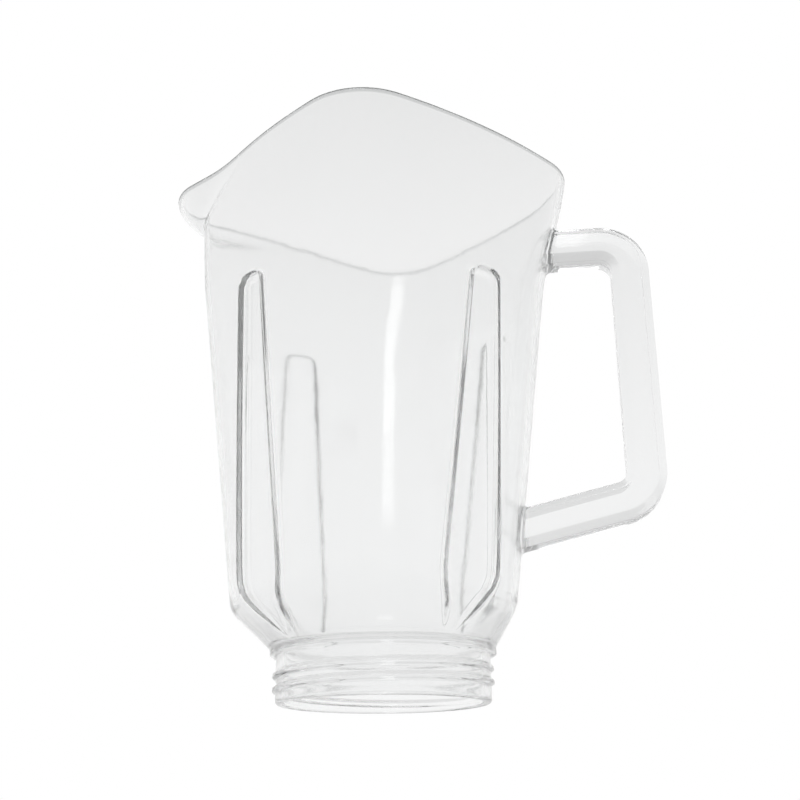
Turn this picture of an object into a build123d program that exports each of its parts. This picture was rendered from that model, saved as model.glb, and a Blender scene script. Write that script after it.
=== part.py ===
"""A clear moulded blender jar in one piece, without its lid and its blade base.

The frame has +Z up and its origin at the centre of the collar's bottom ring. The handle points
towards +X and the pouring spout towards -X. All sizes are in millimetres.
"""

import os
from math import acos, atan, cos, radians, sin, sqrt, tan

from build123d import *

# Overall height and wall
jar_height = 204.0
wall = 2.4

# Rim section: a rounded square with bulged sides and its corners on the X and Y axes
rim_flat = 63.3
rim_corner = 74.9
rim_corner_radius = 26.5

# Waist section, below which the body is straight and sits a little towards the spout
waist_drop = 50.0
waist_flat = 58.4
waist_corner = 66.9
waist_corner_radius = 28.6
body_shift = -3.5
flare_steps = 3

# Foot section of the body, almost round, on top of the shoulder
foot_flat = 49.8
foot_corner = 51.7
foot_corner_radius = 40.0
foot_round = 5.0

# Shoulder and collar; the collar's diameter is measured over its thread
shoulder_height = 15.0
collar_height = 18.0
collar_diameter = 78.4
collar_bore = 70.0
collar_edge = 1.2

# Flutes: channels pressed into the four sides, with a ridge inside for each. They lean towards
# the handle at the top and run out in a point at the neck.
flute_angle = 41.5
flute_depth = 3.0
flute_drop = 53.5
flute_top_width = 13.2
flute_foot_width = 26.0
flute_lean = 3.0
flute_long_side = 36.0
flute_short_side = 39.0
flute_point_height = 19.0
flute_point_offset = 4.5
flute_round = 4.5

# Spout: a beak on the corner opposite the handle
spout_reach = 10.4
spout_tip_radius = 16.0
spout_root_radius = 26.3
spout_depth = 20.0
spout_throat_scale = 0.63

# Handle: a solid bar bent into a loop, with its upper arm level and its lower arm sloping
handle_drop = 31.5
handle_reach = 97.2
handle_bar = 14.2
handle_edge = 2.8
handle_bend = 15.0
handle_corner_height = 71.2
handle_slope = 13.3

# Levels and radii that follow from the sizes above
foot_level = collar_height + shoulder_height
waist_level = jar_height - waist_drop
flute_top = jar_height - flute_drop
collar_radius = collar_diameter / 2
bore_radius = collar_bore / 2
side_direction = sqrt(0.5)


def arc_face(level, shift, corner, flat, tangent):
    """Face bounded by four corner arcs and four side arcs.

    The corners lie on the axes at the distance corner, the sides' middles on the diagonals at the
    distance flat, and a corner arc gives way to a side arc at the point tangent.
    """
    x, y = tangent
    middle = flat * side_direction
    with BuildSketch(Plane.XY.offset(level)) as face:
        with BuildLine():
            for turn in range(0, 360, 90):
                corner_points = [(x, -y), (corner, 0), (x, y)]
                side_points = [(x, y), (middle, middle), (y, x)]
                for points in (corner_points, side_points):
                    turned = [Vector(*point).rotate(Axis.Z, turn) for point in points]
                    ThreePointArc(*[point + Vector(shift, 0) for point in turned])
        make_face()
    return face.sketch


def rounded_square(level, shift, flat, corner, corner_radius, inset):
    """Rounded square with bulged sides, each arc tangent to the next, pulled in by an inset."""
    corner_centre = corner - corner_radius
    diagonal = sqrt(2) * corner_centre
    side_radius = (flat**2 + corner_centre**2 - diagonal * flat - corner_radius**2) / (
        2 * flat - diagonal - 2 * corner_radius
    )
    side_centre = (side_radius - flat) * side_direction
    lean = atan(side_centre / (corner_centre + side_centre))
    reach = corner_radius - inset
    tangent = (corner_centre + reach * cos(lean), reach * sin(lean))
    return arc_face(level, shift, corner - inset, flat - inset, tangent)


def ring_face(level, radius):
    """Round face cut into the same eight arcs as the body's sections."""
    lean = radians(30)
    return arc_face(level, 0, radius, radius, (radius * cos(lean), radius * sin(lean)))


def flare_face(fraction, inset):
    """Section between the waist and the rim, whose shift eases from the body's to none."""
    ease = fraction**2 * (3 - 2 * fraction)
    return rounded_square(
        waist_level + fraction * waist_drop,
        body_shift * (1 - ease),
        waist_flat + fraction * (rim_flat - waist_flat),
        waist_corner + fraction * (rim_corner - waist_corner),
        waist_corner_radius + fraction * (rim_corner_radius - waist_corner_radius),
        inset,
    )


def body_core(inset, neck_radius):
    """The body with its shoulder, pulled in by an inset and standing on a round neck."""
    neck = ring_face(collar_height, neck_radius)
    foot = rounded_square(foot_level, body_shift, foot_flat, foot_corner, foot_corner_radius, inset)
    flare = [flare_face(step / flare_steps, inset) for step in range(flare_steps + 1)]
    with BuildPart() as core:
        loft([neck, foot], ruled=True)
        loft([foot, flare[0]], ruled=True)
        loft(flare)
    return core.part


def beak_face(level, scale, inset):
    """Spout section: two straight sides that leave a root circle and meet in a round tip."""
    root = rim_corner_radius - rim_corner
    root_radius = scale * spout_root_radius - inset
    tip_radius = scale * spout_tip_radius - inset
    tip_distance = scale * (rim_corner_radius + spout_reach - spout_tip_radius)
    tip = root - tip_distance
    lean = acos((root_radius - tip_radius) / tip_distance)
    root_point = (root - root_radius * cos(lean), root_radius * sin(lean))
    tip_point = (tip - tip_radius * cos(lean), tip_radius * sin(lean))
    with BuildSketch(Plane.XY.offset(level)) as face:
        with BuildLine():
            Line((root_point[0], -root_point[1]), (tip_point[0], -tip_point[1]))
            ThreePointArc((tip_point[0], -tip_point[1]), (tip - tip_radius, 0), tip_point)
            Line(tip_point, root_point)
            Line(root_point, (root_point[0], -root_point[1]))
        make_face()
    return face.sketch


def beak_sections(inset):
    """The spout's sections, from a throat hidden in the jar's corner up to the rim."""
    throat_level = jar_height - spout_depth + inset
    return [beak_face(throat_level, spout_throat_scale, inset), beak_face(jar_height, 1, inset)]


def flute_outline(angle, outward, lean, grow):
    """Tapered outline of a flute, on an upright plane that faces the angle, widened by grow.

    The sign outward tells which way along the plane leads to the jar's plain corner, where the
    flute's long side is; the lean moves the top of the flute that way.
    """
    top_half = flute_top_width / 2 + grow
    foot_half = flute_foot_width / 2 + grow
    corners = [
        (flute_point_offset, flute_point_height),
        (foot_half, flute_long_side),
        (lean + top_half, flute_top + grow),
        (lean - top_half, flute_top + grow),
        (-foot_half, flute_short_side),
    ]
    facing = Plane(
        origin=(0, 0, 0),
        x_dir=(-sin(radians(angle)), cos(radians(angle)), 0),
        z_dir=(cos(radians(angle)), sin(radians(angle)), 0),
    )
    with BuildSketch(facing.offset(bore_radius / 2)) as outline:
        with BuildLine():
            Polyline(*[(outward * x, z) for x, z in corners], close=True)
        make_face()
        fillet(outline.vertices().sort_by(Axis.Y)[1:], flute_round + grow)
    return outline.sketch


def flute_channels(inset, neck_radius, grow):
    """Four channels cut into a wall that is pulled in by an inset, each widened by grow."""
    with BuildPart() as channels:
        for end, lean in ((0, -flute_lean), (180, flute_lean)):
            for outward in (-1, 1):
                angle = end + outward * flute_angle
                extrude(flute_outline(angle, outward, lean, grow), amount=rim_corner)
        add(body_core(inset + flute_depth, neck_radius), mode=Mode.SUBTRACT)
    return channels.part


with BuildPart() as hollow:
    add(body_core(wall, bore_radius))
    Cylinder(bore_radius, collar_height, align=(Align.CENTER, Align.CENTER, Align.MIN))
    add(flute_channels(wall, bore_radius, wall), mode=Mode.SUBTRACT)
    loft(beak_sections(wall), ruled=True)

with BuildPart() as jar:
    add(body_core(0, collar_radius))
    foot_edges = jar.edges().filter_by_position(Axis.Z, foot_level - 0.01, foot_level + 0.01)
    fillet(foot_edges, foot_round)
    Cylinder(collar_radius, collar_height, align=(Align.CENTER, Align.CENTER, Align.MIN))
    chamfer(jar.edges().group_by(Axis.Z)[0], collar_edge)
    add(flute_channels(0, collar_radius, 0), mode=Mode.SUBTRACT)
    loft(beak_sections(0), ruled=True)
    upper_level = jar_height - handle_drop
    upper_corner = (handle_reach, upper_level)
    upper_bend = [(handle_reach - handle_bend, upper_level), (handle_reach, upper_level - handle_bend)]
    lower_corner = (handle_reach, handle_corner_height)
    lower_bend = [
        (handle_reach, handle_corner_height + handle_bend),
        (
            handle_reach - handle_bend * cos(radians(handle_slope)),
            handle_corner_height - handle_bend * sin(radians(handle_slope)),
        ),
    ]
    with BuildLine(Plane.XZ) as handle_line:
        Line((0, upper_level), upper_bend[0])
        Bezier(upper_bend[0], upper_corner, upper_bend[1])
        Line(upper_bend[1], lower_bend[0])
        Bezier(lower_bend[0], lower_corner, lower_bend[1])
        Line(lower_bend[1], (0, handle_corner_height - handle_reach * tan(radians(handle_slope))))
    with BuildSketch(Plane(origin=handle_line.line @ 0, z_dir=handle_line.line % 0)) as bar:
        Rectangle(handle_bar, handle_bar)
        chamfer(bar.vertices(), handle_edge)
    sweep()
    add(hollow.part, mode=Mode.SUBTRACT)

os.makedirs("parts", exist_ok=True)
jar.part.label = "jar"
export_step(jar.part, "parts/jar.step")
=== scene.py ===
"""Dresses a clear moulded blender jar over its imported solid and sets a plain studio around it.

The frame is the solid's own: +Z up, the origin at the centre of the collar's bottom ring, the
handle towards +X and the spout towards -X. Sizes are in millimetres until a mesh is made.
"""

import logging
from dataclasses import dataclass, field
from enum import Enum
from math import cos, pi, radians, sin, tan

import bmesh
import bpy
import numpy as np
from mathutils import Matrix, Vector


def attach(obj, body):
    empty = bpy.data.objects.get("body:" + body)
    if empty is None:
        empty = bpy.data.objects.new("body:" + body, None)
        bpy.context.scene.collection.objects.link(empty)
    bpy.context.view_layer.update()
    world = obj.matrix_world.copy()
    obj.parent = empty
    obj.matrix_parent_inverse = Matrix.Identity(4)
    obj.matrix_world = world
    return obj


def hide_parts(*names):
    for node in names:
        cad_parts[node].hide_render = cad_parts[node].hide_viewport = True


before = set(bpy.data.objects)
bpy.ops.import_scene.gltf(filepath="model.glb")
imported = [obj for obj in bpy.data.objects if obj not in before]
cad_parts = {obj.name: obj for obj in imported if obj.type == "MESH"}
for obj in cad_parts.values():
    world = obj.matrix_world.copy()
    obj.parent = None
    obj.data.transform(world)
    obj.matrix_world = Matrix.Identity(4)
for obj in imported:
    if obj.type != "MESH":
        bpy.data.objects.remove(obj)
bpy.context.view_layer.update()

Array = np.ndarray
log = logging.getLogger("jar")
MM = 0.001
ACROSS = np.array([0.0, 1.0, 0.0])
MOTTLE_DETAIL = 3.0

# Sockets of a colour Mix node, which share their names with its other kinds
MIX_FACTOR, MIX_FIRST, MIX_SECOND, MIX_RESULT = 0, 6, 7, 2


class Skin(Enum):
    """The two faces of the moulded wall."""

    OUTER = "outer"
    INNER = "inner"


def ease(value: Array, low: float, high: float) -> Array:
    """Smooth step from 0 at low to 1 at high, the cubic 3t^2 - 2t^3.

    Args:
        value: Numbers to step.
        low: Where the step starts.
        high: Where the step ends.

    Returns:
        The step's height for each number.
    """
    t = np.clip((value - low) / (high - low), 0.0, 1.0)
    return t * t * (3.0 - 2.0 * t)


def soft_min(first: Array, second: Array, width: float) -> Array:
    """Lesser of two values, with the corner between them rounded by a parabola.

    Args:
        first: One set of values.
        second: The other set.
        width: Difference between the two over which the corner is rounded.

    Returns:
        The rounded minimum.
    """
    share = np.clip(0.5 + 0.5 * (second - first) / width, 0.0, 1.0)
    return second + share * (first - second) - width * share * (1.0 - share)


def soft_max(first: Array, second: Array, width: float) -> Array:
    """Greater of two values with a rounded corner, the mirror of soft_min.

    Args:
        first: One set of values.
        second: The other set.
        width: Difference between the two over which the corner is rounded.

    Returns:
        The rounded maximum.
    """
    return -soft_min(-first, -second, width)


def rounded_square(angle: Array, flat: Array, corner: Array, corner_radius: Array) -> Array:
    """Distance from the centre of a rounded square to its outline.

    The outline is four corner arcs on the axes and four bulged side arcs, each tangent to the next.
    A ray meets a circle of radius R, whose centre lies c along a direction that is w away from the
    ray, at c cos w + sqrt(R^2 - c^2 sin^2 w). The angle is folded to the nearest corner, and the
    ray meets the corner's circle before the tangent point and the side's circle after it.

    Args:
        angle: Directions of the rays, in radians.
        flat: Distance of the sides' middles from the centre.
        corner: Distance of the corners from the centre.
        corner_radius: Radius of the corner arcs.

    Returns:
        The distances, in millimetres.
    """
    centre = corner - corner_radius
    diagonal = np.sqrt(2.0) * centre
    side = (flat**2 + centre**2 - diagonal * flat - corner_radius**2) / (
        2.0 * flat - diagonal - 2.0 * corner_radius
    )
    behind = side - flat
    sideways = behind / np.sqrt(2.0)
    lean = np.arctan(sideways / (centre + sideways))
    tangent = np.arctan2(corner_radius * np.sin(lean), centre + corner_radius * np.cos(lean))
    fold = np.abs((angle + pi / 4) % (pi / 2) - pi / 4)
    off_side = pi / 4 - fold
    corner_reach = corner_radius**2 - (centre * np.sin(fold)) ** 2
    at_corner = centre * np.cos(fold) + np.sqrt(np.maximum(corner_reach, 0.0))
    side_reach = side**2 - (behind * np.sin(off_side)) ** 2
    at_side = np.sqrt(np.maximum(side_reach, 0.0)) - behind * np.cos(off_side)
    return np.where(fold < tangent, at_corner, at_side)


def walk(start: float, bands: tuple[tuple[float, int], ...]) -> Array:
    """Levels from a start through bands of evenly spaced rows, without the last band's end.

    Args:
        start: The first level.
        bands: The level at the end of each band, and its number of rows.

    Returns:
        The levels in order.
    """
    parts = []
    for end, rows in bands:
        parts.append(np.linspace(start, end, rows + 1)[:-1])
        start = end
    return np.concatenate(parts)


def mesh_from_grid(name: str, points: Array, loop_rows: bool) -> bpy.types.Mesh:
    """Mesh of a grid of points whose columns run round in a ring.

    Row r and column c make the quad (r, c), (r, c+1), (r+1, c+1), (r+1, c), with columns counted
    round. The rows run round too, or else each end is closed by a fan to the mean of its ring.

    Args:
        name: Name of the mesh.
        points: Points in millimetres, with the shape (rows, columns, 3).
        loop_rows: True where the last row joins the first.

    Returns:
        The mesh, in metres and smooth shaded.
    """
    rows, columns = points.shape[:2]
    index = np.arange(rows * columns).reshape(rows, columns)
    last = rows if loop_rows else rows - 1
    near = index[np.arange(last)]
    far = index[(np.arange(last) + 1) % rows]
    quads = np.stack([near, np.roll(near, -1, 1), np.roll(far, -1, 1), far], -1).reshape(-1, 4)
    faces = quads.tolist()
    flat_points = points.reshape(-1, 3)
    if not loop_rows:
        poles = np.stack([points[0].mean(0), points[-1].mean(0)])
        flat_points = np.vstack([flat_points, poles])
        first_pole = np.full(columns, rows * columns)
        first_fan = np.stack([np.roll(index[0], -1), index[0], first_pole], -1)
        last_fan = np.stack([index[-1], np.roll(index[-1], -1), first_pole + 1], -1)
        faces += first_fan.tolist() + last_fan.tolist()
    mesh = bpy.data.meshes.new(name)
    mesh.from_pydata((flat_points * MM).tolist(), [], faces)
    mesh.shade_smooth()
    return mesh


def add_object(name: str, mesh: bpy.types.Mesh) -> bpy.types.Object:
    """Object for a mesh, at the origin and in the scene.

    Args:
        name: Name of the object.
        mesh: Its mesh, already in place.

    Returns:
        The new object.
    """
    piece = bpy.data.objects.new(name, mesh)
    bpy.context.scene.collection.objects.link(piece)
    return piece


@dataclass(frozen=True)
class Flute:
    """Sizes of the channels pressed into the four sides, seen on an upright plane that faces them.

    Across is counted from the plane's middle towards the jar's plain corner, where the channel's
    long side is. The channel tapers upwards and runs out in a point on the shoulder. The plane's
    direction is in degrees from the X axis.
    """

    facing: float = 41.5
    depth: float = 2.0
    top: float = 150.5
    top_half: float = 6.6
    foot_half: float = 13.0
    lean: float = 3.0
    long_level: float = 36.0
    short_level: float = 39.0
    point_level: float = 19.0
    point_across: float = 4.5
    corner_round: float = 4.5
    bend_round: float = 3.0
    least_width: float = 1.0

    def edges(self, level: Array, lean: float, grow: float) -> tuple[Array, Array]:
        """Short and long edges of the channel.

        Each edge is the softened meeting of two straight lines, one down the wall and one across
        the shoulder to the point, drawn in near the top by the corner's quarter circle.

        Args:
            level: Heights, already within the channel.
            lean: Offset of the channel's top, towards the plain corner.
            grow: Widening on each side.

        Returns:
            Distances across of the short edge and of the long edge.
        """
        up_long = (level - self.long_level) / (self.top - self.long_level)
        up_short = (level - self.short_level) / (self.top - self.short_level)
        wall_long = self.foot_half + up_long * (lean + self.top_half - self.foot_half)
        wall_short = -self.foot_half + up_short * (lean - self.top_half + self.foot_half)
        over_long = (level - self.point_level) / (self.long_level - self.point_level)
        over_short = (level - self.point_level) / (self.short_level - self.point_level)
        shoulder_long = self.point_across + over_long * (self.foot_half - self.point_across)
        shoulder_short = self.point_across - over_short * (self.foot_half + self.point_across)
        into_corner = np.clip(level - self.top + self.corner_round, 0.0, self.corner_round)
        drawn_in = self.corner_round - np.sqrt(self.corner_round**2 - into_corner**2)
        long_edge = soft_min(wall_long, shoulder_long, self.bend_round) - drawn_in + grow
        short_edge = soft_max(wall_short, shoulder_short, self.bend_round) + drawn_in - grow
        middle = (long_edge + short_edge) / 2
        half = np.maximum((long_edge - short_edge) / 2, self.least_width / 2)
        return middle - half, middle + half


@dataclass(frozen=True)
class Thread:
    """Sizes of the right-hand screw thread on the collar."""

    root_radius: float = 38.0
    height: float = 1.15
    pitch: float = 4.7
    spout_side_level: float = 4.7
    crest_half: float = 0.35
    base_half: float = 1.5
    first_level: float = 2.6
    last_level: float = 12.8
    fade: float = 1.2

    def rise(self, angle: Array, level: Array) -> Array:
        """Height of the thread over its root.

        The crest is a helix that climbs one pitch a turn. The height falls by a smooth step with
        the axial distance from the nearest crest, and the crest fades out at both ends.

        Args:
            angle: Directions round the collar, in radians.
            level: Heights on the collar.

        Returns:
            The thread's radial height.
        """
        part_turn = ((angle + pi) % (2 * pi)) / (2 * pi)
        turns = (level - self.spout_side_level) / self.pitch - part_turn
        crest = self.spout_side_level + self.pitch * (np.round(turns) + part_turn)
        profile = 1.0 - ease(np.abs(level - crest), self.crest_half, self.base_half)
        start = ease(crest, self.first_level, self.first_level + self.fade)
        end = 1.0 - ease(crest, self.last_level - self.fade, self.last_level)
        return self.height * profile * start * end


@dataclass(frozen=True)
class Spout:
    """Sizes of the pouring beak on the corner opposite the handle.

    Only rays within the half angle are met with the beak, and their cosine to a side's normal is
    kept above a least value.
    """

    reach: float = 10.4
    tip_radius: float = 22.0
    root_radius: float = 30.5
    depth: float = 15.5
    throat_scale: float = 0.63
    blend: float = 3.0
    half_angle: float = pi / 3
    least_cosine: float = 0.2

    def radius(self, angle: Array, level: Array, centre: Array, jar: "JarShell", inset: float) -> Array:
        """Distance from the body's centre to the beak's outline.

        In plan the beak is a round tip with two straight sides tangent to a root circle. A ray at
        the angle a from -X meets the tip circle at D cos a + sqrt(R^2 - D^2 sin^2 a), D being the
        tip's distance from the centre, and a side at (R + D cos w) / cos(a - w), w being the
        direction of the side's normal. The outline shrinks from the rim to the throat by a quarter
        of a sine wave, so that the beak's front is full.

        Args:
            angle: Directions round the jar, in radians.
            level: Heights.
            centre: The body's centre along X at those heights.
            jar: The jar that the beak is on.
            inset: Distance of the skin inside the outer one.

        Returns:
            The distances, and zero below the throat.
        """
        throat = jar.height - self.depth + inset
        share = np.sin(pi / 2 * np.clip((level - throat) / (jar.height - throat), 0.0, 1.0))
        scale = self.throat_scale + (1.0 - self.throat_scale) * share
        root_radius = scale * self.root_radius - inset
        tip_radius = scale * self.tip_radius - inset
        tip_distance = scale * (jar.rim[2] + self.reach - self.tip_radius)
        root = jar.rim[2] - jar.rim[1]
        to_tip = centre - root + tip_distance
        normal = np.arccos(np.clip((root_radius - tip_radius) / tip_distance, -1.0, 1.0))
        off_axis = np.abs(np.abs((angle + pi) % (2 * pi) - pi) - pi)
        tangent = np.arctan2(tip_radius * np.sin(normal), to_tip + tip_radius * np.cos(normal))
        arc_reach = np.maximum(tip_radius**2 - (to_tip * np.sin(off_axis)) ** 2, 0.0)
        at_tip = to_tip * np.cos(off_axis) + np.sqrt(arc_reach)
        side_cosine = np.maximum(np.cos(off_axis - normal), self.least_cosine)
        at_side = (tip_radius + to_tip * np.cos(normal)) / side_cosine
        outline = np.where(off_axis < tangent, at_tip, at_side)
        ahead = (off_axis < self.half_angle) & (level > throat)
        return np.where(ahead, outline, 0.0)


@dataclass
class JarShell:
    """The moulded jar: body, shoulder, threaded collar, flutes and spout, as one closed wall.

    The sections are (flat, corner, corner radius), from the centre to the middle of a side, to a
    corner, and the radius of the corner arcs. The steps are the widths of the flutes' sides at the
    foot, at the step level and at the flutes' top. Outside, a flute's short and long sides take
    their shares of that width, and no side is wider than a limit, a part of the flute's own width.
    The bands are (level at their end, number of rows), walked up the outer skin and down the inner
    one.
    """

    height: float = 204.0
    wall: float = 2.4
    rim: tuple[float, float, float] = (63.3, 74.9, 26.5)
    waist: tuple[float, float, float] = (58.4, 66.9, 28.6)
    foot: tuple[float, float, float] = (49.8, 51.7, 40.0)
    waist_level: float = 154.0
    foot_level: float = 33.0
    neck_level: float = 18.0
    neck_radius: float = 39.2
    bore_radius: float = 35.0
    shift: float = -3.5
    foot_blend: float = 2.5
    neck_blend: float = 0.5
    flange_radius: float = 40.2
    flange_low: float = 16.2
    flange_edge: float = 0.7
    fade_low: float = 19.5
    fade_high: float = 34.0
    rim_round: float = 1.15
    bottom_round: float = 1.2
    outer_step: tuple[float, float, float] = (1.4, 1.4, 1.1)
    short_share: float = 0.55
    long_share: float = 1.9
    side_limit: float = 0.3
    inner_step: tuple[float, float, float] = (5.5, 5.0, 4.5)
    step_level: float = 104.0
    ridge_grow: float = 1.7
    relax_low: float = 9.0
    relax_high: float = 190.0
    side_columns: int = 5
    floor_columns: int = 10
    span_columns: tuple[int, int, int, int] = (38, 38, 38, 64)
    outer_bands: tuple[tuple[float, int], ...] = (
        (15.0, 42), (20.0, 20), (31.0, 12), (36.0, 10), (145.0, 30), (150.9, 20), (183.0, 14),
    )
    inner_bands: tuple[tuple[float, int], ...] = (
        (184.0, 34), (153.5, 12), (144.5, 16), (36.0, 26), (31.0, 10), (20.0, 10), (15.0, 10),
    )
    outer_last_rows: int = 40
    inner_last_rows: int = 8
    round_rows: int = 6
    angle_tries: int = 6
    flute: Flute = field(default_factory=Flute)
    thread: Thread = field(default_factory=Thread)
    spout: Spout = field(default_factory=Spout)

    def centre(self, level: Array) -> Array:
        """The sections' centre along X: the body sits towards the spout, the rim and collar don't.

        Args:
            level: Heights.

        Returns:
            The centre's place along X.
        """
        below = np.clip((level - self.neck_level) / (self.foot_level - self.neck_level), 0.0, 1.0)
        above = 1.0 - ease(level, self.waist_level, self.height)
        return self.shift * below * above

    def section(self, level: Array) -> list[Array]:
        """The outer section, which changes evenly between foot, waist and rim.

        Args:
            level: Heights.

        Returns:
            The flats, the corners and the corner radii at those heights.
        """
        levels = [self.foot_level, self.waist_level, self.height]
        return [np.interp(level, levels, size) for size in zip(self.foot, self.waist, self.rim)]

    def plain_radius(self, angle: Array, level: Array, skin: Skin) -> Array:
        """Distance from the sections' centre to the wall, without its flutes, thread and spout.

        Below the foot a cone leads down to the neck, and its meeting with the body is rounded.

        Args:
            angle: Directions round the jar, in radians.
            level: Heights.
            skin: Which face of the wall.

        Returns:
            The distances.
        """
        inset, neck = (0.0, self.neck_radius) if skin is Skin.OUTER else (self.wall, self.bore_radius)
        body = rounded_square(angle, *[size - inset for size in self.section(level)])
        foot = rounded_square(angle, *[np.asarray(size - inset) for size in self.foot])
        up = (level - self.neck_level) / (self.foot_level - self.neck_level)
        return soft_min(body, neck + up * (foot - neck), self.foot_blend)

    def edge_angle(self, facing: float, across: Array, level: Array, skin: Skin) -> Array:
        """Direction, from the sections' centre, of a wall point that lies across a facing plane.

        The point lies across = r sin(angle - facing) - centre sin(facing) from the middle of the
        plane, which is solved for the angle by repeated substitution.

        Args:
            facing: Direction that the plane faces, in radians.
            across: Distances along the plane.
            level: Heights.
            skin: Which face of the wall.

        Returns:
            The directions, in radians.
        """
        offset = across + self.centre(level) * sin(facing)
        angle = np.full(np.broadcast(across, level).shape, facing)
        for _ in range(self.angle_tries):
            radius = self.plain_radius(angle, level, skin)
            angle = facing + np.arcsin(np.clip(offset / radius, -1.0, 1.0))
        return angle

    def side_step(self, level: Array, skin: Skin) -> Array:
        """Width over which a flute's side falls to its floor, wider at the foot than at the top.

        Args:
            level: Heights within the flutes.
            skin: Which face of the wall.

        Returns:
            The widths.
        """
        widths = self.outer_step if skin is Skin.OUTER else self.inner_step
        return np.interp(level, [self.foot_level, self.step_level, self.flute.top], widths)

    def columns(self, level: Array, skin: Skin) -> tuple[Array, Array]:
        """Directions of the grid's columns, which follow the flutes' edges, and the flutes' share.

        Going round, each flute has a side, a floor and a side, and then comes the plain span to the
        next flute. Outside, the flute's short side is steep and its long side gentle. The columns are
        the same in number at each height.

        Args:
            level: Heights within the flutes, with the shape (rows, 1).
            skin: Which face of the wall.

        Returns:
            The directions in radians and the share of the flutes' depth, each (rows, columns).
        """
        outer = skin is Skin.OUTER
        step = self.side_step(level, skin)
        grow = 0.0 if outer else self.ridge_grow
        short_step = step * self.short_share if outer else step
        long_step = step * self.long_share if outer else step
        side = np.linspace(0.0, 1.0, self.side_columns + 1)[:-1]
        floor = np.linspace(0.0, 1.0, self.floor_columns + 1)[:-1]
        facing = radians(self.flute.facing)
        places = [(facing - pi, 1, 1), (-facing, -1, -1), (facing, 1, -1), (pi - facing, -1, 1)]
        starts, insides, ends = [], [], []
        for direction, outward, lean_sign in places:
            short, long = self.flute.edges(level, lean_sign * self.flute.lean, grow)
            low, high = (short, long) if outward > 0 else (-long, -short)
            low_step, high_step = (short_step, long_step) if outward > 0 else (long_step, short_step)
            low_side = np.minimum(low_step, self.side_limit * (high - low))
            high_side = np.minimum(high_step, self.side_limit * (high - low))
            across = np.hstack([
                low + low_side * side,
                low + low_side + (high - low - low_side - high_side) * floor,
                high - high_side + high_side * side,
            ])
            insides.append(self.edge_angle(direction, across, level, skin))
            starts.append(self.edge_angle(direction, low, level, skin))
            ends.append(self.edge_angle(direction, high, level, skin))
        share = np.concatenate([ease(side, 0.0, 1.0), np.ones(floor.size), 1.0 - ease(side, 0.0, 1.0)])
        blocks, shares = [], []
        followings = starts[1:] + [starts[0] + 2 * pi]
        for inside, end, following, count in zip(insides, ends, followings, self.span_columns):
            part = np.linspace(0.0, 1.0, count + 1)[:-1]
            blocks += [inside, end + (following - end) * part]
            shares += [share, np.zeros(count)]
        angles = np.hstack(blocks)
        return angles, np.broadcast_to(np.concatenate(shares), angles.shape)

    def skin_points(self, level: Array, pull: Array, skin: Skin) -> Array:
        """Points of one face of the wall on the grid's rows.

        The radius is the plain wall's, rounded into the threaded collar or the bore, less the
        flutes' depth, and rounded into the beak. The point is (centre + r cos a, r sin a, height).

        Args:
            level: Heights of the rows.
            pull: Distance of each row inside the skin, for rounded edges.
            skin: Which face of the wall.

        Returns:
            The points, with the shape (rows, columns, 3).
        """
        outer = skin is Skin.OUTER
        flute = self.flute
        height = level[:, None]
        within = np.clip(height, flute.point_level, flute.top)
        angle, share = self.columns(within, skin)
        rest, _ = self.columns(np.array([[(flute.point_level + flute.top) / 2]]), Skin.OUTER)
        relax = 1.0 - ease(height, self.relax_low, flute.point_level)
        relax = relax + ease(height, flute.top, self.relax_high)
        angle = angle + relax * (rest - angle)
        top = flute.top if outer else flute.top + self.ridge_grow
        step = self.side_step(np.array(flute.top), skin)
        fall = ease(height, self.fade_low, self.fade_high)
        depth = flute.depth * fall * (1.0 - ease(height, top - step, top)) * share
        if outer:
            root = self.thread.root_radius
            flange = ease(height, self.flange_low, self.flange_low + self.flange_edge)
            tube = root + self.thread.rise(angle, height) + (self.flange_radius - root) * flange
        else:
            tube = np.full(angle.shape, self.bore_radius)
        radius = soft_max(tube, self.plain_radius(angle, height, skin), self.neck_blend) - depth
        inset = 0.0 if outer else self.wall
        beak = self.spout.radius(angle, height, self.centre(height), self, inset)
        radius = soft_max(radius, beak, self.spout.blend) - pull[:, None]
        x = self.centre(height) + radius * np.cos(angle)
        y = radius * np.sin(angle)
        return np.stack([x, y, np.broadcast_to(height, x.shape)], -1)

    def rows(self) -> tuple[Array, Array, Array, Array]:
        """Heights and pulls of the rows, up the outer skin and then down the inner one.

        Returns:
            Outer heights, outer pulls, inner heights and inner pulls.
        """
        quarter = np.linspace(0.0, pi / 2, self.round_rows)
        bottom, rim = self.bottom_round, self.rim_round
        rim_start = self.height - rim
        outer_walk = walk(bottom, (*self.outer_bands, (rim_start, self.outer_last_rows)))
        inner_walk = walk(rim_start, (*self.inner_bands, (rim, self.inner_last_rows)))
        outer_level = np.concatenate([
            bottom * (1 - np.cos(quarter[:-1])), outer_walk, rim_start + rim * np.sin(quarter),
        ])
        outer_pull = np.concatenate([
            bottom * (1 - np.sin(quarter[:-1])), np.zeros(outer_walk.size), rim * (1 - np.cos(quarter)),
        ])
        inner_level = np.concatenate([
            rim_start + rim * np.cos(quarter[:-1]), inner_walk, rim * (1 - np.sin(quarter)),
        ])
        inner_pull = np.concatenate([
            -rim * (1 - np.sin(quarter[:-1])), np.zeros(inner_walk.size), -rim * (1 - np.cos(quarter)),
        ])
        return outer_level, outer_pull, inner_level, inner_pull

    def corner_x(self, across: Array, level: Array) -> Array:
        """Outer wall's place along X near the handle's corner: the corner arc of each section.

        Args:
            across: Places along Y.
            level: Heights.

        Returns:
            The wall's places along X.
        """
        _, corner, radius = self.section(level)
        return self.centre(level) + corner - radius + np.sqrt(radius**2 - across**2)

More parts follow.
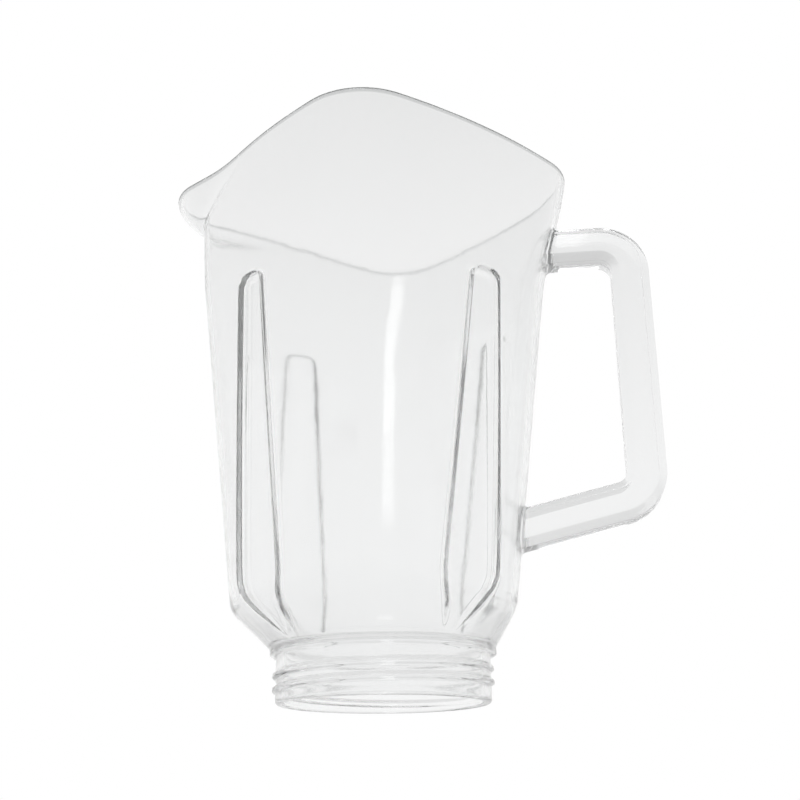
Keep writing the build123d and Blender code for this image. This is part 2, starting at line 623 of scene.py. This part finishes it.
    def build(self) -> bpy.types.Object:
        """The jar's wall as one closed object.

        Returns:
            The object, without its handle.
        """
        outer_level, outer_pull, inner_level, inner_pull = self.rows()
        outer = self.skin_points(outer_level, outer_pull, Skin.OUTER)
        inner = self.skin_points(inner_level, inner_pull, Skin.INNER)
        return add_object("jar_shell", mesh_from_grid("jar_shell", np.concatenate([outer, inner]), True))


@dataclass
class Handle:
    """The loop handle: a solid square bar with its edges cut off, let into the jar's wall.

    The lower arm's slope is in degrees.
    """

    jar: JarShell
    level: float = 172.5
    reach: float = 97.2
    corner_level: float = 71.2
    slope: float = 13.3
    bend: float = 12.0
    half_bar: float = 7.1
    edge_flat: float = 2.8
    edge_round: float = 0.8
    bite: float = 1.2
    fillet: float = 1.6
    arc_points: int = 4
    flat_points: int = 2
    arm_rings: int = 8
    fillet_rings: int = 7
    bend_rings: int = 16
    grip_rings: int = 12
    wall_tries: int = 10

    def outline(self) -> Array:
        """The bar's section: a square with its edges cut at 45 degrees and each corner rounded.

        Between two faces, at the distances p and q from the middle, a corner's arc of radius r is
        centred where the faces, both moved in by r, meet. The arcs turn through 45 degrees each,
        and points in between keep the faces flat.

        Returns:
            Points (normal, across), with the shape (columns, 2).
        """
        face = self.half_bar - self.edge_round
        cut = np.sqrt(0.5) * (2.0 * self.half_bar - self.edge_flat) - self.edge_round
        side = np.sqrt(2.0) * cut - face
        number = np.arange(8)
        first = pi / 4 * number[:, None]
        turned = np.where(number % 2 == 0, pi / 4 * number, pi / 4 * (number + 1))[:, None]
        off = np.where(number % 2 == 0, side, -side)[:, None]
        turn = first + np.linspace(0.0, pi / 4, self.arc_points)
        normal = face * np.cos(turned) - off * np.sin(turned) + self.edge_round * np.cos(turn)
        across = face * np.sin(turned) + off * np.cos(turned) + self.edge_round * np.sin(turn)
        arcs = np.stack([normal, across], -1)
        part = np.linspace(0.0, 1.0, self.flat_points + 2)[1:-1, None]
        flats = arcs[:, -1:] + part * (np.roll(arcs, -1, 0)[:, :1] - arcs[:, -1:])
        return np.concatenate([arcs, flats], 1).reshape(-1, 2)

    def line(self) -> tuple[Array, Array]:
        """The bar's middle line from the end of one arm's bend to the other's, and its normals.

        Returns:
            Points (x, z) and unit normals (x, z) that point out of the loop.
        """
        turn_low = radians(90.0 - self.slope)
        middle_x = self.reach - self.bend
        tangent = self.bend * tan(turn_low / 2)
        low_z = self.corner_level + tangent
        upper = np.linspace(pi / 2, 0.0, self.bend_rings)
        lower = np.linspace(0.0, -turn_low, self.bend_rings)
        grip = np.linspace(self.level - self.bend, low_z, self.grip_rings)[1:-1]
        angle = np.concatenate([upper, np.zeros(grip.size), lower])
        centre_z = np.concatenate([
            np.full(upper.size, self.level - self.bend), grip, np.full(lower.size, low_z),
        ])
        normal = np.stack([np.cos(angle), np.sin(angle)], -1)
        points = np.stack([np.full(angle.size, middle_x), centre_z], -1) + self.bend * normal
        return points, normal

    def arm(self, ring: Array, normal: Array, outline: Array, inward: Array) -> Array:
        """Rings of an arm from its bend to inside the wall.

        Each line along the arm is carried to where it meets the wall, found by repeated
        substitution. Near the wall the section swells by a quarter circle, r - sqrt(r^2 - (r - d)^2)
        at the distance d, and the last ring lies a little way inside the wall.

        Args:
            ring: The bend's last ring, (columns, 3).
            normal: The section's normal direction at that ring, (x, y, z).
            outline: The section, (columns, 2).
            inward: Direction along the arm towards the jar.

        Returns:
            The rings, nearest the bend first.
        """
        along = np.linspace(1.0, 0.0, self.arm_rings + 1)[1:]
        close = self.fillet * np.sin(np.linspace(0.0, pi / 2, self.fillet_rings))[1:]
        swell = self.fillet - np.sqrt(self.fillet**2 - np.concatenate([close, [self.fillet]]) ** 2)
        swell = np.concatenate([np.zeros(along.size), swell])
        unit = outline / np.linalg.norm(outline, axis=1, keepdims=True)
        sideways = unit[:, :1] * normal + unit[:, 1:] * ACROSS
        base = ring[None] + swell[:, None, None] * sideways[None]
        length = np.full(base.shape[:2], self.half_bar)
        for _ in range(self.wall_tries):
            spot = base + length[..., None] * inward
            length = length + (self.jar.corner_x(spot[..., 1], spot[..., 2]) - spot[..., 0]) / inward[0]
        straight = self.fillet + along[:, None] * (length[: along.size] - self.fillet)
        near = np.concatenate([self.fillet - close, [-self.bite]])
        away = np.concatenate([straight, np.repeat(near[:, None], ring.shape[0], 1)])
        return base + (length - away)[..., None] * inward

    def build(self) -> bpy.types.Object:
        """The handle as a closed object whose ends lie inside the jar's wall.

        Returns:
            The object.
        """
        outline = self.outline()
        points, normals = self.line()
        flat_normals = np.stack([normals[:, 0], np.zeros(len(normals)), normals[:, 1]], -1)
        middle = np.stack([points[:, 0], np.zeros(len(points)), points[:, 1]], -1)
        loop = (
            middle[:, None]
            + outline[None, :, :1] * flat_normals[:, None]
            + outline[None, :, 1:] * ACROSS
        )
        slope = radians(self.slope)
        upper = self.arm(loop[0], flat_normals[0], outline, np.array([-1.0, 0.0, 0.0]))
        lower = self.arm(loop[-1], flat_normals[-1], outline, np.array([-cos(slope), 0.0, -sin(slope)]))
        rings = np.concatenate([upper[::-1], loop, lower])
        mesh = mesh_from_grid("handle_bar", rings, False)
        shape = bmesh.new()
        shape.from_mesh(mesh)
        bmesh.ops.recalc_face_normals(shape, faces=shape.faces)
        shape.to_mesh(mesh)
        shape.free()
        return add_object("handle_bar", mesh)


@dataclass(frozen=True)
class ClearPlastic:
    """Finish of the jar: clear, polished plastic with the faint ripple of a moulding.

    The rim's level, the band under it where the painted shade on the rim's rounded top starts and is
    full, and the ripple's depth are in metres. That painted shade darkens the base colour there, so the
    rim shows as a thin grey line, standing in for the line its edge draws by refraction.
    """

    tint: tuple[float, float, float] = (0.95, 0.953, 0.953)
    roughness: tuple[float, float] = (0.05, 0.1)
    ior: float = 1.47
    absorption: tuple[float, float, float] = (0.5, 0.51, 0.51)
    density: float = 9.0
    clearness: float = 0.975
    shadow_tint: tuple[float, float, float] = (0.86, 0.86, 0.86)
    rim_level: float = 0.204
    rim_painted_shade_band: tuple[float, float] = (0.0014, 0.0006)
    rim_painted_shade: tuple[float, float, float] = (0.4, 0.41, 0.41)
    ripple_scale: float = 55.0
    ripple_depth: float = 0.00025
    ripple_strength: float = 0.35

    def material(self) -> bpy.types.Material:
        """The finish as a material, on Object coordinates, that lets the lamps' light through.

        Returns:
            The material.
        """
        material = bpy.data.materials.new("clear_plastic")
        material.use_nodes = True
        nodes, links = material.node_tree.nodes, material.node_tree.links
        shader = nodes["Principled BSDF"]
        shader.inputs["Transmission Weight"].default_value = self.clearness
        shader.inputs["IOR"].default_value = self.ior
        place = nodes.new("ShaderNodeTexCoord")
        mottle = nodes.new("ShaderNodeGroup")
        mottle.node_tree = mottle_group()
        mottle.inputs["Scale"].default_value = self.ripple_scale
        mottle.inputs["Low"].default_value = self.roughness[0]
        mottle.inputs["High"].default_value = self.roughness[1]
        split = nodes.new("ShaderNodeSeparateXYZ")
        # Painted shade: the base colour darkens over the rim's rounded top, drawing the rim's edge line
        # in colour rather than by light
        rim = nodes.new("ShaderNodeMapRange")
        rim.interpolation_type = "SMOOTHSTEP"
        rim.inputs["From Min"].default_value = self.rim_level - self.rim_painted_shade_band[0]
        rim.inputs["From Max"].default_value = self.rim_level - self.rim_painted_shade_band[1]
        color = nodes.new("ShaderNodeMix")
        color.data_type = "RGBA"
        color.inputs[MIX_FIRST].default_value = (*self.tint, 1.0)
        color.inputs[MIX_SECOND].default_value = (*self.rim_painted_shade, 1.0)
        bump = nodes.new("ShaderNodeBump")
        bump.inputs["Strength"].default_value = self.ripple_strength
        bump.inputs["Distance"].default_value = self.ripple_depth
        absorb = nodes.new("ShaderNodeVolumeAbsorption")
        absorb.inputs["Color"].default_value = (*self.absorption, 1.0)
        absorb.inputs["Density"].default_value = self.density
        path = nodes.new("ShaderNodeLightPath")
        veil = nodes.new("ShaderNodeBsdfTransparent")
        veil.inputs["Color"].default_value = (*self.shadow_tint, 1.0)
        mix = nodes.new("ShaderNodeMixShader")
        links.new(place.outputs["Object"], split.inputs["Vector"])
        links.new(split.outputs["Z"], rim.inputs["Value"])
        links.new(rim.outputs["Result"], color.inputs[MIX_FACTOR])
        links.new(color.outputs[MIX_RESULT], shader.inputs["Base Color"])
        links.new(place.outputs["Object"], mottle.inputs["Vector"])
        links.new(mottle.outputs["Value"], shader.inputs["Roughness"])
        links.new(mottle.outputs["Height"], bump.inputs["Height"])
        links.new(bump.outputs["Normal"], shader.inputs["Normal"])
        links.new(path.outputs["Is Shadow Ray"], mix.inputs["Fac"])
        links.new(shader.outputs["BSDF"], mix.inputs[1])
        links.new(veil.outputs["BSDF"], mix.inputs[2])
        links.new(mix.outputs["Shader"], nodes["Material Output"].inputs["Surface"])
        links.new(absorb.outputs["Volume"], nodes["Material Output"].inputs["Volume"])
        return material


@dataclass(frozen=True)
class PaleFloor:
    """Finish of the floor: a pale sheet that is seen from above only.

    It fades away between two distances from the jar, in metres, and shows in polished surfaces and
    through the plastic as an even tone.
    """

    color: tuple[float, float, float] = (0.86, 0.86, 0.86)
    seen_in_plastic: tuple[float, float, float] = (0.81, 0.81, 0.81)
    fade: tuple[float, float] = (0.35, 1.1)
    roughness: tuple[float, float] = (0.75, 0.85)
    mottle_scale: float = 9.0

    def material(self) -> bpy.types.Material:
        """The finish as a material, see-through from below.

        Returns:
            The material.
        """
        material = bpy.data.materials.new("pale_floor")
        material.use_nodes = True
        nodes, links = material.node_tree.nodes, material.node_tree.links
        shader = nodes["Principled BSDF"]
        shader.inputs["Base Color"].default_value = (*self.color, 1.0)
        place = nodes.new("ShaderNodeTexCoord")
        mottle = nodes.new("ShaderNodeGroup")
        mottle.node_tree = mottle_group()
        mottle.inputs["Scale"].default_value = self.mottle_scale
        mottle.inputs["Low"].default_value = self.roughness[0]
        mottle.inputs["High"].default_value = self.roughness[1]
        path = nodes.new("ShaderNodeLightPath")
        mirrored = nodes.new("ShaderNodeMath")
        mirrored.operation = "MAXIMUM"
        glow = nodes.new("ShaderNodeEmission")
        glow.inputs["Color"].default_value = (*self.seen_in_plastic, 1.0)
        sheet = nodes.new("ShaderNodeMixShader")
        distance = nodes.new("ShaderNodeVectorMath")
        distance.operation = "LENGTH"
        edge = nodes.new("ShaderNodeMapRange")
        edge.interpolation_type = "SMOOTHSTEP"
        edge.inputs["From Min"].default_value = self.fade[0]
        edge.inputs["From Max"].default_value = self.fade[1]
        geometry = nodes.new("ShaderNodeNewGeometry")
        unseen = nodes.new("ShaderNodeMath")
        unseen.operation = "MAXIMUM"
        clear = nodes.new("ShaderNodeBsdfTransparent")
        mix = nodes.new("ShaderNodeMixShader")
        links.new(place.outputs["Object"], mottle.inputs["Vector"])
        links.new(mottle.outputs["Value"], shader.inputs["Roughness"])
        links.new(place.outputs["Object"], distance.inputs[0])
        links.new(distance.outputs["Value"], edge.inputs["Value"])
        links.new(edge.outputs["Result"], unseen.inputs[0])
        links.new(geometry.outputs["Backfacing"], unseen.inputs[1])
        links.new(unseen.outputs["Value"], mix.inputs["Fac"])
        links.new(path.outputs["Is Glossy Ray"], mirrored.inputs[0])
        links.new(path.outputs["Is Transmission Ray"], mirrored.inputs[1])
        links.new(mirrored.outputs["Value"], sheet.inputs["Fac"])
        links.new(shader.outputs["BSDF"], sheet.inputs[1])
        links.new(glow.outputs["Emission"], sheet.inputs[2])
        links.new(sheet.outputs["Shader"], mix.inputs[1])
        links.new(clear.outputs["BSDF"], mix.inputs[2])
        links.new(mix.outputs["Shader"], nodes["Material Output"].inputs["Surface"])
        return material


def mottle_group() -> bpy.types.NodeTree:
    """Shared node group: soft noise as a value between two limits, and as a height.

    Returns:
        The group, made once.
    """
    name = "soft_mottle"
    if name in bpy.data.node_groups:
        return bpy.data.node_groups[name]
    group = bpy.data.node_groups.new(name, "ShaderNodeTree")
    sockets = [
        ("Vector", "INPUT", "NodeSocketVector"), ("Scale", "INPUT", "NodeSocketFloat"),
        ("Low", "INPUT", "NodeSocketFloat"), ("High", "INPUT", "NodeSocketFloat"),
        ("Value", "OUTPUT", "NodeSocketFloat"), ("Height", "OUTPUT", "NodeSocketFloat"),
    ]
    for label, way, kind in sockets:
        group.interface.new_socket(label, in_out=way, socket_type=kind)
    source = group.nodes.new("NodeGroupInput")
    result = group.nodes.new("NodeGroupOutput")
    noise = group.nodes.new("ShaderNodeTexNoise")
    noise.inputs["Detail"].default_value = MOTTLE_DETAIL
    limits = group.nodes.new("ShaderNodeMapRange")
    group.links.new(source.outputs["Vector"], noise.inputs["Vector"])
    group.links.new(source.outputs["Scale"], noise.inputs["Scale"])
    group.links.new(noise.outputs["Fac"], limits.inputs["Value"])
    group.links.new(source.outputs["Low"], limits.inputs["To Min"])
    group.links.new(source.outputs["High"], limits.inputs["To Max"])
    group.links.new(limits.outputs["Result"], result.inputs["Value"])
    group.links.new(noise.outputs["Fac"], result.inputs["Height"])
    return group


@dataclass
class Jar:
    """The finished jar: its wall and its handle joined into one solid, and its finish."""

    shell: JarShell = field(default_factory=JarShell)
    finish: ClearPlastic = field(default_factory=ClearPlastic)
    crease: float = radians(60.0)

    def build(self) -> bpy.types.Object:
        """Wall and handle as one closed piece.

        Returns:
            The piece.
        """
        wall = self.shell.build()
        handle = Handle(self.shell).build()
        join = wall.modifiers.new("join_handle", "BOOLEAN")
        join.operation = "UNION"
        join.solver = "EXACT"
        join.object = handle
        shown = wall.evaluated_get(bpy.context.evaluated_depsgraph_get())
        solid = bpy.data.meshes.new_from_object(shown)
        bpy.data.objects.remove(wall)
        bpy.data.objects.remove(handle)
        solid.name = "jar_moulding"
        solid.shade_smooth()
        solid.set_sharp_from_angle(angle=self.crease)
        return add_object("jar_moulding", solid)

    def dress(self, piece: bpy.types.Object) -> None:
        """Gives the piece its finish and its place in the frame.

        Args:
            piece: The jar's piece.
        """
        piece.data.materials.clear()
        piece.data.materials.append(self.finish.material())
        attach(piece, "root")
        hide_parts("jar")


@dataclass(frozen=True)
class SoftLamp:
    """A rectangular soft lamp, in metres and watts, that may itself show in polished surfaces."""

    name: str
    place: tuple[float, float, float]
    aim: tuple[float, float, float]
    size: tuple[float, float]
    power: float
    mirrored: bool

    def build(self) -> bpy.types.Object:
        """The lamp, turned to face its aim.

        Returns:
            The lamp's object.
        """
        light = bpy.data.lights.new(self.name, "AREA")
        light.shape = "RECTANGLE"
        light.size, light.size_y = self.size
        light.energy = self.power
        lamp = bpy.data.objects.new(self.name, light)
        turn = (Vector(self.aim) - Vector(self.place)).to_track_quat("-Z", "Y")
        lamp.matrix_world = Matrix.Translation(self.place) @ turn.to_matrix().to_4x4()
        lamp.visible_glossy = self.mirrored
        lamp.visible_transmission = self.mirrored
        bpy.context.scene.collection.objects.link(lamp)
        return lamp


@dataclass
class Studio:
    """Plain floor, soft lamps, white surroundings and the camera, in metres.

    The panel is the one lamp that shows in the plastic: its reflection runs down the far wall.
    """

    lamps: tuple[SoftLamp, ...] = (
        SoftLamp("key", (-0.7, -0.6, 1.0), (0.0, 0.0, 0.1), (0.7, 0.7), 4.0, False),
        SoftLamp("fill", (0.9, -0.4, 0.8), (0.0, 0.0, 0.1), (0.8, 0.8), 2.0, False),
        SoftLamp("panel", (-0.03, -0.90, 0.85), (0.0, 0.06, 0.14), (0.36, 0.44), 1.3, True),
    )
    floor_half: float = 3.0
    floor_points: int = 3
    camera_place: tuple[float, float, float] = (0.0564, -0.40724, -0.03609)
    camera_forward: tuple[float, float, float] = (-0.1136, 0.9326, 0.3425)
    camera_up: tuple[float, float, float] = (0.0509, -0.3388, 0.9395)
    lens: float = 51.147
    clip_start: float = 0.01
    world_fill: float = 0.85
    ceiling_start: float = 0.2
    ceiling_white: float = 0.62
    light_bounces: int = 24
    floor: PaleFloor = field(default_factory=PaleFloor)

    def build_floor(self) -> bpy.types.Object:
        """A level sheet under the jar.

        Returns:
            The floor.
        """
        span = np.linspace(-self.floor_half, self.floor_half, self.floor_points)
        x, y = np.meshgrid(span, span)
        points = np.stack([x, y, np.zeros_like(x)], -1).reshape(-1, 3)
        index = np.arange(x.size).reshape(x.shape)
        faces = np.stack([index[:-1, :-1], index[:-1, 1:], index[1:, 1:], index[1:, :-1]], -1)
        mesh = bpy.data.meshes.new("floor")
        mesh.from_pydata(points.tolist(), [], faces.reshape(-1, 4).tolist())
        floor = add_object("floor", mesh)
        mesh.materials.append(self.floor.material())
        return floor

    def build_world(self) -> None:
        """Surroundings that are white to the camera, greyer overhead and a little softer as light."""
        world = bpy.data.worlds.new("studio")
        bpy.context.scene.world = world
        world.use_nodes = True
        nodes, links = world.node_tree.nodes, world.node_tree.links
        back = nodes["Background"]
        path = nodes.new("ShaderNodeLightPath")
        mirrored = nodes.new("ShaderNodeMath")
        mirrored.operation = "MAXIMUM"
        strength = nodes.new("ShaderNodeMapRange")
        strength.inputs["To Min"].default_value = self.world_fill
        strength.inputs["To Max"].default_value = 1.0
        place = nodes.new("ShaderNodeTexCoord")
        split = nodes.new("ShaderNodeSeparateXYZ")
        ceiling = nodes.new("ShaderNodeMapRange")
        ceiling.interpolation_type = "SMOOTHSTEP"
        ceiling.inputs["From Min"].default_value = self.ceiling_start
        ceiling.inputs["From Max"].default_value = 1.0
        ceiling.inputs["To Min"].default_value = 1.0
        ceiling.inputs["To Max"].default_value = self.ceiling_white
        shade = nodes.new("ShaderNodeMath")
        shade.operation = "MULTIPLY"
        seen = nodes.new("ShaderNodeMath")
        seen.operation = "MAXIMUM"
        links.new(path.outputs["Is Glossy Ray"], mirrored.inputs[0])
        links.new(path.outputs["Is Transmission Ray"], mirrored.inputs[1])
        links.new(mirrored.outputs["Value"], strength.inputs["Value"])
        links.new(place.outputs["Generated"], split.inputs["Vector"])
        links.new(split.outputs["Z"], ceiling.inputs["Value"])
        links.new(strength.outputs["Result"], shade.inputs[0])
        links.new(ceiling.outputs["Result"], shade.inputs[1])
        links.new(shade.outputs["Value"], seen.inputs[0])
        links.new(path.outputs["Is Camera Ray"], seen.inputs[1])
        links.new(seen.outputs["Value"], back.inputs["Strength"])
        back.inputs["Color"].default_value = (1.0, 1.0, 1.0, 1.0)

    def build_camera(self) -> None:
        """The camera at the photograph's viewing angle."""
        forward = Vector(self.camera_forward).normalized()
        right = forward.cross(Vector(self.camera_up)).normalized()
        up = right.cross(forward)
        data = bpy.data.cameras.new("camera")
        data.lens = self.lens
        data.clip_start = self.clip_start
        camera = bpy.data.objects.new("camera", data)
        turn = Matrix((right, up, -forward)).transposed().to_4x4()
        camera.matrix_world = Matrix.Translation(self.camera_place) @ turn
        bpy.context.scene.collection.objects.link(camera)
        bpy.context.scene.camera = camera

    def build(self) -> None:
        """Floor, lamps, surroundings and camera, and enough bounces for light inside the wall."""
        self.build_floor()
        for lamp in self.lamps:
            lamp.build()
        self.build_world()
        self.build_camera()
        scene = bpy.context.scene
        scene.view_settings.view_transform = "Standard"
        scene.cycles.max_bounces = self.light_bounces
        scene.cycles.glossy_bounces = self.light_bounces
        scene.cycles.transmission_bounces = self.light_bounces


def main() -> None:
    """Builds the jar and the studio in order."""
    logging.basicConfig(level=logging.INFO)
    jar = Jar()
    piece = jar.build()
    jar.dress(piece)
    log.info("%s: %d faces", piece.name, len(piece.data.polygons))
    Studio().build()
    log.info("studio ready")


if __name__ == "__main__":
    main()
